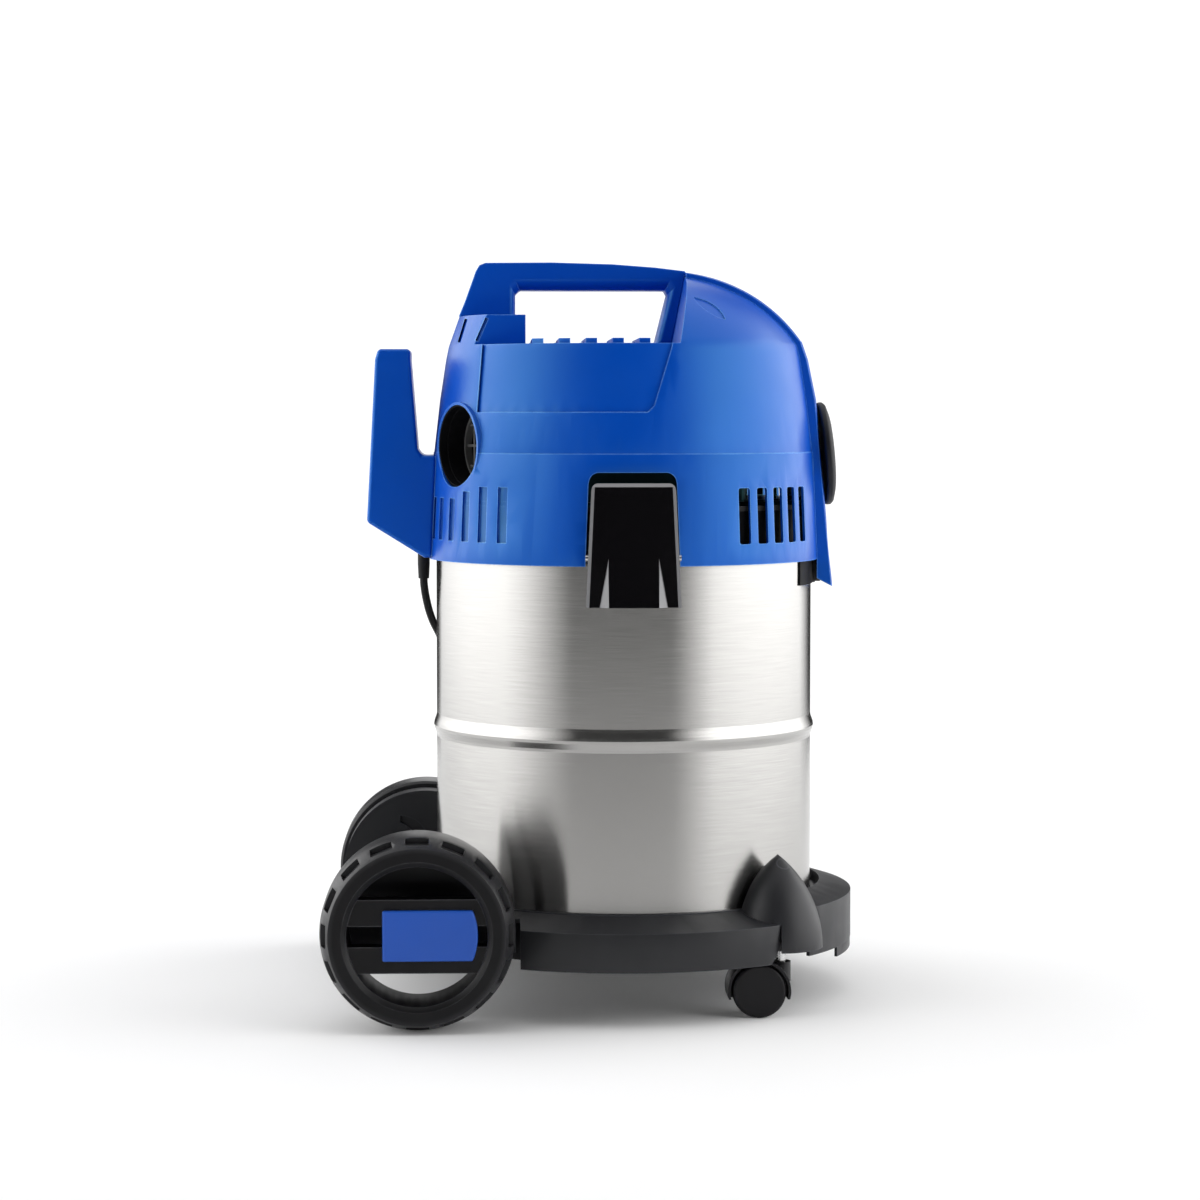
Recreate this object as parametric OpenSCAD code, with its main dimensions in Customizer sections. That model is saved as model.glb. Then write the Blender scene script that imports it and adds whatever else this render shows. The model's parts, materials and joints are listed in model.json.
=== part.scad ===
// Wet and dry shop vacuum: a steel tank on a four-wheeled trolley, under a lift-off motor head.
// Millimetres. The front, with the knob and the hose inlet, faces +X. +Z is up and the floor is z = 0.

/* [Tank] */
// Outer radius of the steel tank
tank_r = 155; // [145:1:165]
// Thickness of the tank wall
tank_t = 1.5; // [1:0.1:2]
// Height of the tank's underside
tank_base_z = 47; // [46.5:0.5:50]
// Height of the tank's upper edge
tank_top_z = 398; // [392:1:400]
// Height of the pressed bead over the tank's underside
bead_h = 172; // [130:1:210]
// How far the bead stands out
bead_rise = 2.4; // [1:0.1:4]

/* [Trolley] */
// Height of the trolley's lower edge
ring_base_z = 43.5; // [43.5:0.5:45]
// Height of the deck at the tank
deck_in_z = 83; // [80:1:90]
// Height of the deck at the side bands
deck_out_z = 74; // [70:1:78]
// How far the side bands stand out from the tank
band_out = 40; // [37:1:45]
// How far the front bumper stands out from the tank
bumper_out = 34; // [31:1:39]
// Height of the front bumper's upper edge
bumper_top_z = 90; // [86:1:94]
// Wall thickness of the mouldings
wall = 3; // [2.5:0.1:3.5]

/* [Rear wheels] */
// Radius of the rear wheels
wheel_r = 75.5; // [70:0.5:76]
// Axle position behind the tank's wall
axle_gap = 12.5; // [10:0.5:17]
// Outer face of a rear wheel, beside the tank's wall
wheel_out = 58; // [56:1:62]
// Width of a rear wheel
wheel_w = 58; // [50:1:60]
// Radius of the steel axle
axle_r = 6; // [5:0.5:7]

/* [Casters] */
// Radius of a caster wheel
caster_r = 21.3; // [19:0.1:21.3]
// Swivel axis behind the foremost line of the tank
swivel_in = 37; // [35:1:41]
// Swivel axis inside the outermost line of the tank
swivel_side = 15; // [13:1:17]
// Trail of the caster wheel behind its swivel axis
trail = 18; // [14:1:19]
// Radius of the swivel stems
stem_r = 4; // [3.5:0.5:4]

/* [Head] */
// How far the head's lower edge reaches down over the tank
head_lap = 42; // [38:1:46]
// How far the head's lower edge stands out from the tank
head_out = 6; // [6:0.5:9]
// Height of the seam over the tank's edge
seam_h = 45.5; // [42:0.5:50]
// How much narrower the head is at the seam than at its lower edge, in radius
seam_in = 4; // [3:0.5:5]
// Height of the top deck over the seam
deck_h = 86.5; // [82:0.5:90]
// How much narrower the head is at the deck than at the seam, in radius
deck_in = 12.8; // [11:0.2:15]
// Height of the rear block over the deck
block_h = 24; // [20:1:28]
// Height of the handle over the rear block
handle_h = 44; // [40:1:48]
// Width of the handle
handle_w = 38; // [32:1:44]
// Width of the raised front spine
spine_w = 72; // [70:1:76]
// Angle of the exhaust port, counted from the front
port_angle = 208; // [206:1:210]
// Height of the exhaust port's axis over the seam
port_h = 5.5; // [3:0.5:8]
// Inner radius of the exhaust port
port_r = 31; // [29:0.5:31]
// Inner radius of the hose inlet
inlet_r = 27.5; // [26:0.5:28]
// Depth of the hose inlet's axis under the tank's edge
inlet_drop = 32; // [31:0.5:33]
// Radius of the knob
knob_r = 42.5; // [36:0.5:43]

/* [Latches] */
// Depth of the latch pins under the tank's edge
latch_drop = 35; // [33:1:37]
// Distance of the latch pins from the tank's wall
latch_out = 9.5; // [9:0.5:11]
// Radius of the latch pins
latch_pin_r = 2.5; // [2:0.1:2.5]

/* [Motor] */
// Radius of the fan housing
fan_case_r = 70; // [66:1:72]
// Radius of the impellers
fan_r = 62; // [56:1:63]
// Radius of the motor shaft
shaft_r = 4; // [3.5:0.5:4.5]

/* [Hidden] */
$fn = 96;
eps = 0.01;
fit = 0.05;
// the tank's centre line lies this far in front of the middle of the whole length
tank_x = 27;
bead_z = tank_base_z + bead_h;
floor_z = tank_top_z + 4;
floor_top_z = floor_z + 3.5;

// head, from the tank's edge upwards
head_base_z = tank_top_z - head_lap;
head_r = tank_r + head_out;
seam_z = tank_top_z + seam_h;
seam_r = head_r - seam_in;
deck_z = seam_z + deck_h;
deck_r = seam_r - deck_in;
block_z = deck_z + block_h;
block_r = deck_r - 8.6;
top_z = block_z + handle_h;
port_z = seam_z + port_h;
inlet_z = tank_top_z - inlet_drop;
latch_pin_z = tank_top_z - latch_drop;
latch_pin_y = tank_r + latch_out;

// trolley and wheels, from the tank's wall outwards
band_r = tank_r + band_out;
bumper_r = tank_r + bumper_out;
axle_back = tank_r + axle_gap;
wheel_out_y = tank_r + wheel_out;
wheel_in_y = wheel_out_y - wheel_w;
wheel_z = wheel_r;
wheel_front_x = wheel_r - axle_back;
swivel_x = tank_r - swivel_in;
swivel_y = tank_r - swivel_side;
caster_z = caster_r;

// colours
blue = "#1450b8";
black = "#1c1c20";
grey = "#33363c";
steel = "#c9c7c2";

// tank and inlet
bead_half = bead_rise + 7;
tube_r = inlet_r + 2.5;
flange_r = inlet_r + 3.5;
hood_in = tank_r - 34;
inlet_seat_out = tank_r - 5.5;

// head
spine_half = spine_w / 2;
spine_lift = 4;
spine_low_z = head_base_z - 24;
spine_low_x = head_r + 11.8;
spine_mid_z = seam_z + 42.5;
spine_mid_x = seam_r + 1.8;
slot_half = 5.8;
slot_h = 44.2;
post_angles = [45, 125, -45, -125];
post_r = deck_r - 19.2;
hook_half = 30;
crest_x = deck_r - 107.45;
crest_z = deck_z - 72;
// the dome's arc starts at the edge of the deck
crest_r = sqrt(pow(deck_r - crest_x, 2) + pow(deck_z - crest_z, 2));

// exhaust port, by distances along its axis
port_out = tank_r - 0.5;
port_seat_out = tank_r - 7.5;
grille_out = tank_r - 22;
collar_in = port_seat_out + 1;
collar_out = port_out + 0.6;

// knob
knob_z = seam_z - 1.8;
knob_tilt = 5.2;
knob_drop = (spine_mid_z - knob_z) / (spine_mid_z - spine_low_z);
knob_x = spine_mid_x + (spine_low_x - spine_mid_x) * knob_drop;

// trolley, pods and casters
cup_r = tank_r + 0.6;
pod_x = swivel_x - 1;
pod_y = swivel_y - 16;
pod_r = 36;
pod_base_z = ring_base_z + 8.5;
pod_top_z = pod_base_z + 73.5;
plug_r_pod = 5;
drum_r = wheel_r - 4.5;
drum_in_y = wheel_in_y - 29;
drum_out_y = wheel_in_y - 7;
axle_half = wheel_out_y - 6.7;
caster_half = 16;
caster_web = 4.7;
caster_top_z = ring_base_z - 0.5;
caster_x = swivel_x - trail;
caster_pin_r = 3;
stem_low_z = caster_z + 9;
disc_w = 11;

// bars across the rear wheels
bar_gap = 16;
bar_h = 20.5;

// latches
ear_x = 27;
ear_r = 5.5;
latch_face = latch_pin_y + 8;
lip_top_half = 20.2;
lip_half = 19.4;
lip_foot_half = 26.5;
lip_out = 5.5;
lip_h = 34;
latch_w_low = 74;
latch_w_top = 65;
latch_low_z = latch_pin_z - 38;
latch_top_z = latch_pin_z + 58;
recess_gap = 1.6;
recess_w = latch_w_low + 2 * recess_gap;
recess_top_z = latch_top_z + 8;
recess_in = tank_r - 13.5;
recess_top_w = latch_w_top + 2 * recess_gap;

// motor, float and filter
motor_z = floor_top_z + 2.5;
frame_z = motor_z + 40;
stator_r = 42;
cage_r = 36;
ball_r = 27.5;

// mains cord
cord_r = 3.2;
gland_x = -tank_r - 10.5;
gland_low_z = head_base_z - 5;
cord_exit_z = gland_low_z - 12;

// route of the mains cord from its gland to the coil, counted from the tank's centre line
cord_route = [
  [-165.5, 0, 336], [-164.5, 2, 327], [-162, 9, 314], [-158.5, 22, 302], [-154, 40, 291],
  [-149, 59, 278], [-140, 79, 262], [-128, 100, 243], [-115, 117, 222], [-103, 131, 198],
  [-92, 143, 172], [-83, 152, 146], [-74, 161, 118], [-63, 172, 96], [-50, 184, 83],
  [-38, 195, 75], [-26, 202, 62], [-13, 205, 46], [2, 206, 29], [19, 205, 14],
  [37, 204, 5.5], [54, 204, 3.2], [70, 204, 3.2]
];
// the route follows the tank's radius and the gland's height, and lies on the floor at its end
cord_wide = -gland_x / 165.5;
cord_tall = (cord_exit_z - cord_r) / 335.8;
cord_points = [for (p = cord_route) [p[0] * cord_wide, p[1] * cord_wide, cord_r + (p[2] - 3.2) * cord_tall]];
coil_x = 70 * cord_wide;
coil_y = 204 * cord_wide + 48;
// from the outer turn of the coil's top layer to the plug that lies across the coil
tail_points = [for (p = [
  [33.9, -33.9, 35.2], [39.8, -25.2, 37.6], [41.9, -14.8, 42], [39.8, -4.5, 47],
  [33.9, 4.2, 51.8], [25.2, 10.1, 55.5], [19.4, 12.2, 57],
  [14.9, 12.2, 57]
]) [coil_x, coil_y, 0] + p];
// four turns side by side and six layers, one cord apart
coil_cols = 4;
coil_layers = 6;
coil_mid_r = 12 * cord_r;
coil_top_z = 2 * coil_layers * cord_r;
plug_r = 18.5;

// ---------------------------------------------------------------- shared helpers

module at_tank() translate([tank_x, 0, 0]) children();

module both_sides() for (s = [0, 1]) mirror([0, s, 0]) children();

module far_side() mirror([0, 1, 0]) children();

// cylinder along Y, from y0 to y1
module rod_y(x, z, r, y0, y1) translate([x, y0, z]) rotate([-90, 0, 0]) cylinder(r = r, h = y1 - y0);

// cylinder along X, from x0 to x1
module rod_x(y, z, r, x0, x1) translate([x0, y, z]) rotate([0, 90, 0]) cylinder(r = r, h = x1 - x0);

module block(x0, x1, y0, y1, z0, z1) translate([x0, y0, z0]) cube([x1 - x0, y1 - y0, z1 - z0]);

module ring(r0, r1, z0, z1) rotate_extrude() translate([r0, z0]) square([r1 - r0, z1 - z0]);

// polygon in X and Z, extruded to half_w on both sides of the middle
module side_profile(points, half_w)
  rotate([90, 0, 0]) linear_extrude(2 * half_w, center = true) polygon(points);

// outer radius of the head's skirt
function skirt_r(z) = head_r + (seam_r - head_r) * (z - head_base_z) / (seam_z - head_base_z);

// points of the head's wall from the seam up to the rear block, drawn inwards by t
function cover_wall(t) = [
  [seam_r - 0.5 - t, seam_z],
  [seam_r - 5.4 - t, spine_mid_z],
  [deck_r + 2.3 - t, deck_z - 11],
  [deck_r - t, deck_z],
  [block_r - t, block_z]
];

// solid of the head's whole outside, drawn inwards by t, used to trim what sits on it
module head_solid(t) {
  rotate_extrude() polygon(concat(
    [[0, head_base_z - 40], [head_r - t, head_base_z - 40], [head_r - t, head_base_z], [seam_r - t, seam_z]],
    [for (i = [0:3]) cover_wall(t)[i]],
    [[0, deck_z]]));
  dome_solid(t);
}

// front dome: the deck's circle closed by an arc up to the handle
module dome_solid(t)
  rotate_extrude() {
    intersection() {
      translate([crest_x, crest_z]) circle(r = crest_r - t);
      translate([crest_x, deck_z]) square([crest_r, 70]);
    }
    translate([0, deck_z]) square([crest_x + eps, crest_r - t - (deck_z - crest_z)]);
  }

// slanted plane between the handle's front leg and the dome
function leg_x(z) = 38 + 12 * (z - deck_z) / (top_z - 6.6 - deck_z);

// everything in front of that plane, moved forwards by t
module front_half(t)
  side_profile([
    [leg_x(deck_z - 1) + t, deck_z - 1], [leg_x(top_z) + t, top_z], [260, top_z], [260, deck_z - 1]
  ], 200);

// ---------------------------------------------------------------- tank

// rolled bead seen in section, from its lower to its upper edge
function bead_line(r) = [for (i = [-4:4]) let (h = i * bead_half / 4)
  [r + bead_rise * (1 + cos(180 * h / bead_half)) / 2, bead_z + h]];

module tank_wall() at_tank() color(steel)
  difference() {
    rotate_extrude() polygon(concat(
      [[tank_r - tank_t, tank_base_z], [tank_r, tank_base_z]],
      bead_line(tank_r),
      [
        [tank_r, tank_top_z], [tank_r - 5, tank_top_z], [tank_r - 5, tank_top_z - 1.5],
        [tank_r - tank_t, tank_top_z - 1.5]
      ],
      [for (i = [8:-1:0]) bead_line(tank_r - tank_t)[i]]
    ));
    rod_x(0, inlet_z, tube_r, hood_in, tank_r + 45);
  }

module tank_floor() at_tank() color(steel)
  rotate_extrude() {
    rim = tank_r - tank_t;
    polygon([
      [0, tank_base_z], [rim, tank_base_z], [rim, tank_base_z + 14], [rim - 1.5, tank_base_z + 14],
      [rim - 1.5, tank_base_z + 1.5], [0, tank_base_z + 1.5]
    ]);
  }

module tank_gasket() at_tank() color(black)
  ring(tank_r - 6, tank_r - 0.5, tank_top_z, floor_z);

// plate and flange on the outside of the tank, tube through its wall and a hood that turns the air down
module inlet_fitting() at_tank() color(black) {
  difference() {
    union() {
      intersection() {
        ring(tank_r, tank_r + 1.3, inlet_z - 30, inlet_z + 25);
        block(0, 200, -70, 70, 0, inlet_z + 60);
      }
      difference() {
        rod_x(0, inlet_z, flange_r, tank_r - 5, tank_r + 3.5);
        cylinder(r = tank_r, h = 600);
      }
      rod_x(0, inlet_z, tube_r, hood_in, tank_r + 8);
    }
    rod_x(0, inlet_z, inlet_r, hood_in + wall, 220);
    rod_x(0, inlet_z, inlet_r + 1, inlet_seat_out, 220);
    block(hood_in - 1, hood_in + 18, -20, 20, inlet_z - 40, inlet_z - 8);
  }
}

// ---------------------------------------------------------------- latches

// foot on the tank with two ears for the pin
module latch_bracket() {
  difference() {
    union() {
      intersection() {
        ring(tank_r, tank_r + 2, latch_pin_z - 15, latch_pin_z + 15);
        block(-33, 33, -200, 0, 0, 600);
      }
      for (s = [-1, 1]) {
        intersection() {
          difference() {
            union() {
              translate([s * ear_x, 0, latch_pin_z])
                block(-3, 3, -latch_pin_y, -tank_r + 12, -ear_r, ear_r);
              rod_x(-latch_pin_y, latch_pin_z, ear_r, s * ear_x - 3, s * ear_x + 3);
            }
            cylinder(r = tank_r, h = 600);
          }
          block(-40, 40, -200, 0, 0, 600);
        }
      }
    }
    rod_x(-latch_pin_y, latch_pin_z, latch_pin_r, -50, 50);
  }
}

module latch_bracket_near() at_tank() color(black) latch_bracket();
module latch_bracket_far() at_tank() color(black) far_side() latch_bracket();

module latch_pin() rod_x(-latch_pin_y, latch_pin_z, latch_pin_r, -37.2, 37.2);
module latch_pin_near() at_tank() color(steel) latch_pin();
module latch_pin_far() at_tank() color(steel) far_side() latch_pin();

// trapezoid in X and Z with rounded upper corners, cut through everything along Y
module tapered_panel(w_low, w_top, z_low, z_top, corner)
  rotate([90, 0, 0]) linear_extrude(400, center = true) {
    shoulder = w_top / 2 + (w_low - w_top) / 2 * corner / (z_top - z_low);
    polygon([
      [-w_low / 2, z_low], [w_low / 2, z_low], [shoulder, z_top - corner], [w_top / 2 - corner, z_top],
      [corner - w_top / 2, z_top], [-shoulder, z_top - corner]
    ]);
    for (s = [-1, 1]) intersection() {
      translate([s * (w_top / 2 - corner), z_top - corner]) circle(r = corner);
      translate([s > 0 ? w_top / 2 - corner : -w_top / 2, z_top - corner]) square(corner);
    }
  }

// raised lip in the middle of the lever's lower end, with slanted sides
module latch_lip() translate([0, -latch_face, latch_low_z]) polyhedron(
  [
    [-lip_top_half, 0.5, lip_h], [lip_top_half, 0.5, lip_h],
    [-lip_foot_half, 0.5, 0], [lip_foot_half, 0.5, 0],
    [-lip_half, -lip_out, 0], [lip_half, -lip_out, 0]
  ],
  [[0, 1, 5, 4], [0, 4, 2], [1, 3, 5], [2, 4, 5, 3], [0, 2, 3, 1]]
);

// lever plate, from its lower lip to its top
module latch_plate() {
  thick = 4;
  intersection() {
    rotate([90, 0, 90]) linear_extrude(100, center = true) polygon([
      [-latch_face, latch_low_z], [-latch_face, latch_low_z + 34],
      [2 - latch_face, latch_top_z - 3], [4 - latch_face, latch_top_z], [7 - latch_face, latch_top_z],
      [7 - latch_face, latch_top_z - 6], [thick - latch_face, latch_low_z + 40],
      [thick - latch_face, latch_low_z]
    ]);
    tapered_panel(latch_w_low, latch_w_top, latch_low_z, latch_top_z, 5);
  }
  latch_lip();
}

module latch_body() {
  ledge_top = floor_top_z + 5.5;
  difference() {
    union() {
      latch_plate();
      for (s = [-1, 1])
        translate([s * 33.2, -latch_pin_y, latch_pin_z]) block(-1.8, 1.8, -5.5, 4, -7, 7);
      block(-26, 26, -latch_pin_y - 4, 4.5 - tank_r, ledge_top + 0.4, ledge_top + 4.5);
    }
    rod_x(-latch_pin_y, latch_pin_z, latch_pin_r + fit, -60, 60);
    for (s = [-1, 1]) rod_x(-latch_pin_y, latch_pin_z, ear_r + 0.4, s * ear_x - 3.5, s * ear_x + 3.5);
  }
}

module latch_near() at_tank() color(black) latch_body();
module latch_far() at_tank() color(black) far_side() latch_body();

// ---------------------------------------------------------------- trolley

// half outline of a caster pod's pointed arch, drawn inwards by t, from height z0 over its base up
function arch_points(t, z0) =
  let (h = pod_top_z - pod_base_z, c = (h * h - pod_r * pod_r) / (2 * pod_r), r = pod_r + c - t)
  let (low = asin(z0 / r), high = acos(c / r), steps = 12)
  [for (i = [0:steps]) let (a = low + (high - low) * i / steps) [r * cos(a) - c, r * sin(a)]];

module pod_arch(t, z0) translate([pod_x, -pod_y, pod_base_z])
  rotate_extrude() polygon(concat([[0, z0]], arch_points(t, z0)));

// what a pod leaves to the tank's cup and to the side band
module pod_limits() {
  skin = 0.2;
  cylinder(r = cup_r + wall + skin, h = 200);
  intersection() {
    ring(band_r - wall - skin, band_r + 40, 0, deck_out_z);
    block(0, pod_x, -300, 300, -10, 200);
  }
}

module pod_space() difference() {
  pod_arch(0, 0);
  pod_limits();
}

module caster_pod() difference() {
  union() {
    difference() {
      pod_arch(0, 0);
      pod_arch(wall, -1);
    }
    intersection() {
      pod_arch(1, 0);
      translate([swivel_x, -swivel_y, pod_base_z]) {
        cylinder(r = 10, h = 24);
        block(-1.5, 1.5, -30, 40, 8, 40);
        block(-40, 40, -1.5, 1.5, 8, 40);
      }
    }
  }
  pod_limits();
  translate([swivel_x, -swivel_y, 0]) cylinder(r = stem_r + fit, h = pod_base_z + 20);
  plug_bore(plug_r_pod);
}

// round cover, flush in the outer face near a pod's tip
module plug_bore(r) translate([pod_x + 3.8, -pod_y - 6.7, pod_top_z - 6.7]) rotate([0, 38, -60])
  cylinder(r = r, h = 14, center = true);

module pod_plug() intersection() {
  difference() {
    pod_arch(0, 40);
    pod_arch(wall, 30);
  }
  plug_bore(plug_r_pod);
}

module caster_pod_near() at_tank() color(grey) caster_pod();
module caster_pod_far() at_tank() color(grey) far_side() caster_pod();
module pod_plugs() at_tank() color(grey) both_sides() pod_plug();

// height of the sloping deck at radius r
function deck_at(r) = deck_in_z + (deck_out_z - deck_in_z) * (r - cup_r) / (band_r - cup_r);

// cup under the tank with its deck; the side bands and the bumper add their own outer walls
module trolley_ring() {
  inner_deck_r = tank_r + 23;
  deck_start = cup_r + 1;
  step = 0.3;
  rotate_extrude() {
    translate([0, ring_base_z]) square([cup_r + wall, tank_base_z - ring_base_z]);
    translate([cup_r, ring_base_z]) square([wall, deck_in_z - ring_base_z]);
    polygon([
      [deck_start, deck_at(deck_start) - step], [deck_start, deck_at(deck_start) - step - wall],
      [inner_deck_r, deck_at(inner_deck_r) - step - wall], [inner_deck_r, deck_at(inner_deck_r) - step]
    ]);
    translate([inner_deck_r - wall - 1, pod_base_z]) square([wall, 25]);
  }
  // side bands, cut off on a slant at the pods
  intersection() {
    rotate_extrude() polygon([
      [deck_start, deck_at(deck_start)], [deck_start, deck_at(deck_start) - wall],
      [band_r - wall, deck_out_z - wall], [band_r - wall, ring_base_z], [band_r, ring_base_z],
      [band_r, deck_out_z]
    ]);
    side_profile([
      [wheel_front_x - 3, 0], [pod_x - 8, 0], [pod_x - 8, ring_base_z], [pod_x - 3, ring_base_z + 8.5],
      [pod_x, deck_out_z], [pod_x, 100], [wheel_front_x - 3, 100]
    ], 300);
  }
  // webs under the deck
  for (a = [-150:20:150])
    rotate([0, 0, a]) block(deck_start, inner_deck_r - 2, -1.25, 1.25, ring_base_z + 1, 76);
}

module front_bumper() {
  wide = 41;
  deep = 26;
  deck_edge = tank_r + 8;
  rotate([0, 0, -wide]) rotate_extrude(angle = 2 * wide) polygon([
    [deck_edge, 76], [deck_edge, bumper_top_z], [bumper_r, bumper_top_z - 8], [bumper_r, ring_base_z],
    [bumper_r - wall, ring_base_z], [bumper_r - wall, bumper_top_z - 10.5],
    [deck_edge + wall, bumper_top_z - 4], [deck_edge + wall, 76]
  ]);
  // lower lip, a little thinner than the wall above it
  rotate([0, 0, -deep]) rotate_extrude(angle = 2 * deep)
    translate([bumper_r - wall + 0.4, ring_base_z - 8]) square([wall - 0.8, 10]);
  for (a = [-36:18:36])
    rotate([0, 0, a]) block(bumper_r - 15, bumper_r - 1, -1.25, 1.25, 50, 76);
}

// rear: two drums beside the wheels, joined by a bridge behind the tank
module rear_carrier() difference() {
  rear_bridge();
  cylinder(r = cup_r + 1, h = 300);
}

module rear_bridge() {
  both_sides() intersection() {
    rod_y(-axle_back, wheel_z, drum_r, -drum_out_y, -drum_in_y);
    block(-400, 0, -300, 300, ring_base_z, 400);
  }
  rod_y(-axle_back - 18, wheel_z - 2, 29, -drum_in_y - 1, drum_in_y + 1);
  block(-axle_back - 18, -tank_r + 8, -drum_in_y - 1, drum_in_y + 1, ring_base_z, wheel_z + 20);
}

// shallow curved groove in the inner face of a drum
module drum_groove() {
  translate([-axle_back - 22, -drum_in_y - 3, wheel_z + 24]) rotate([-90, 0, 0]) difference() {
    cylinder(r = 25, h = 10);
    translate([-7, 2, -1]) cylinder(r = 22, h = 12);
    translate([-60, -30, -1]) cube([60, 60, 12]);
  }
}

module trolley_base() at_tank() color(grey)
  difference() {
    union() {
      trolley_ring();
      front_bumper();
      rear_carrier();
    }
    both_sides() {
      pod_space();
      block(-300, wheel_front_x + 4, -300, -drum_out_y, 0, 300);
      drum_groove();
      translate([swivel_x, -swivel_y, 0]) cylinder(r = 12, h = pod_base_z + 20);
    }
    rod_y(-axle_back, wheel_z, axle_r, -300, 300);
    block(-axle_back - 40, -tank_r - 6, -drum_in_y + 4, drum_in_y - 4, 0, wheel_z - 12);
  }

// ---------------------------------------------------------------- rear axle and wheels

module rear_axle() at_tank() color(steel) rod_y(-axle_back, wheel_z, axle_r, -axle_half, axle_half);

module axle_clips() at_tank() color(steel) both_sides() difference() {
  rod_y(-axle_back, wheel_z, 10, -wheel_out_y + 8.2, -wheel_out_y + 9.7);
  rod_y(-axle_back, wheel_z, axle_r, -wheel_out_y, -wheel_out_y + 20);
}

module rear_wheel() {
  rim_in = wheel_r - 21.5;
  shoulder = wheel_r - 7.3;
  face = wheel_out_y;
  blocks = 16;
  difference() {
    union() {
      translate([-axle_back, 0, wheel_z]) rotate([90, 0, 0]) rotate_extrude() polygon([
        [rim_in, wheel_in_y], [wheel_r - 2, wheel_in_y], [wheel_r, wheel_in_y + 3], [wheel_r, face - 22],
        [wheel_r - 3, face - 10], [shoulder, face], [rim_in + 4, face], [rim_in, face - 3]
      ]);
      intersection() {
        rod_y(-axle_back, wheel_z, rim_in + 2, -face + 6, -face + 22);
        for (s = [-1, 1])
          translate([-axle_back - 80, -face, wheel_z + s * (bar_gap + bar_h) / 2 - bar_h / 2])
            cube([160, 40, bar_h]);
      }
      rod_y(-axle_back, wheel_z, 14, -face + 10, -wheel_in_y);
    }
    rod_y(-axle_back, wheel_z, axle_r + fit + 0.01, -face - 1, 0);
    rod_y(-axle_back, wheel_z, 12, -face - 1, -face + 10);
    for (i = [0:blocks - 1])
      translate([-axle_back, 0, wheel_z]) rotate([0, i * 360 / blocks, 0])
        block(-9, 9, -face - 1, -face + 18, wheel_r - 5.5, wheel_r + 4);
    wheel_cap();
  }
}

// cover plate, set off centre along the bars, with a round front end
module wheel_cap() {
  long = 73;
  high = 39;
  front_x = 10 - axle_back + long / 2;
  end_r = 49.5;
  intersection() {
    translate([front_x - long, -wheel_out_y + 1, wheel_z + 1 - high / 2]) cube([long, 5.3, high]);
    rod_y(front_x - end_r, wheel_z + 1, end_r, -wheel_out_y, -wheel_out_y + 20);
  }
}

module rear_wheel_near() at_tank() color(black) rear_wheel();
module rear_wheel_far() at_tank() color(black) far_side() rear_wheel();
module wheel_cap_near() at_tank() color(blue) wheel_cap();
module wheel_cap_far() at_tank() color(blue) far_side() wheel_cap();

// ---------------------------------------------------------------- casters

// hood over two discs, with the web between them and the boss for the swivel stem
module caster_body() {
  hood_r = caster_r + 3.7;
  difference() {
    union() {
      intersection() {
        rod_y(caster_x, caster_z, hood_r, -swivel_y - caster_half, -swivel_y + caster_half);
        block(0, 300, -300, 0, caster_z - 6.3, caster_top_z);
      }
      translate([swivel_x, -swivel_y, caster_z + 6]) cylinder(r = 8, h = caster_top_z - caster_z - 6);
    }
    rod_y(caster_x, caster_z, hood_r - 2, -swivel_y - 30, -swivel_y - caster_web);
    rod_y(caster_x, caster_z, hood_r - 2, -swivel_y + caster_web, -swivel_y + 30);
    rod_y(caster_x, caster_z, caster_pin_r + fit, -swivel_y - 30, -swivel_y + 30);
    translate([swivel_x, -swivel_y, stem_low_z]) cylinder(r = stem_r, h = 60);
  }
}

module caster_stem() translate([swivel_x, -swivel_y, stem_low_z])
  cylinder(r = stem_r, h = pod_base_z + 19 - stem_low_z);

// two discs on one steel pin
module caster_wheels() {
  half = disc_w / 2;
  for (s = [-1, 1])
    translate([caster_x, -swivel_y + s * (caster_half - half), caster_z]) rotate([90, 0, 0])
      rotate_extrude() polygon([
        [0, -half], [caster_r - 1.5, -half], [caster_r, 1.5 - half], [caster_r, half - 1.5],
        [caster_r - 1.5, half], [0, half]
      ]);
  rod_y(caster_x, caster_z, caster_pin_r, -swivel_y - 9, -swivel_y + 9);
}

module caster_body_near() at_tank() color(black) caster_body();
module caster_body_far() at_tank() color(black) far_side() caster_body();
module caster_stem_near() at_tank() color(steel) caster_stem();
module caster_stem_far() at_tank() color(steel) far_side() caster_stem();
module caster_wheels_near() at_tank() color(black) caster_wheels();
module caster_wheels_far() at_tank() color(black) far_side() caster_wheels();

// ---------------------------------------------------------------- head shells

// direction of the exhaust port, with its axis along the child's +X
module at_port() rotate([0, 0, port_angle]) translate([0, 0, port_z]) children();

module port_boss(r, x0, x1) at_port() rod_x(0, 0, r, x0, x1);

// upright cooling slots through the skirt, angles counted from the side towards the front
module cooling_slots() both_sides() for (i = [0:4])
  rotate([0, 0, -90 + 34.2 + i * 6.9])
    translate([0, 0, head_base_z + 16.2]) {
      block(seam_r - 27, seam_r + 43, -slot_half, slot_half, 2, slot_h - 2);
      block(seam_r - 27, seam_r + 43, 2 - slot_half, slot_half - 2, 0, slot_h);
      for (y = [2 - slot_half, slot_half - 2], z = [2, slot_h - 2]) rod_x(y, z, 2, seam_r - 27, seam_r + 43);
    }

// blind grooves that match the slots at the rear
module rear_grooves() both_sides() difference() {
  for (i = [0:5])
    rotate([0, 0, -90 - 39.6 - i * 7.7])
      block(seam_r - 27, seam_r + 43, -4.8, 4.8, head_base_z + 17, head_base_z + [61, 61, 57, 51, 51, 51][i]);
  head_solid(2);
}

// recess in the skirt round a latch, grown by t
module recess_panel(t)
  tapered_panel(recess_w + 2 * t, recess_top_w + 2 * t, head_base_z - 40, recess_top_z + t, 8 + t);

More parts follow.
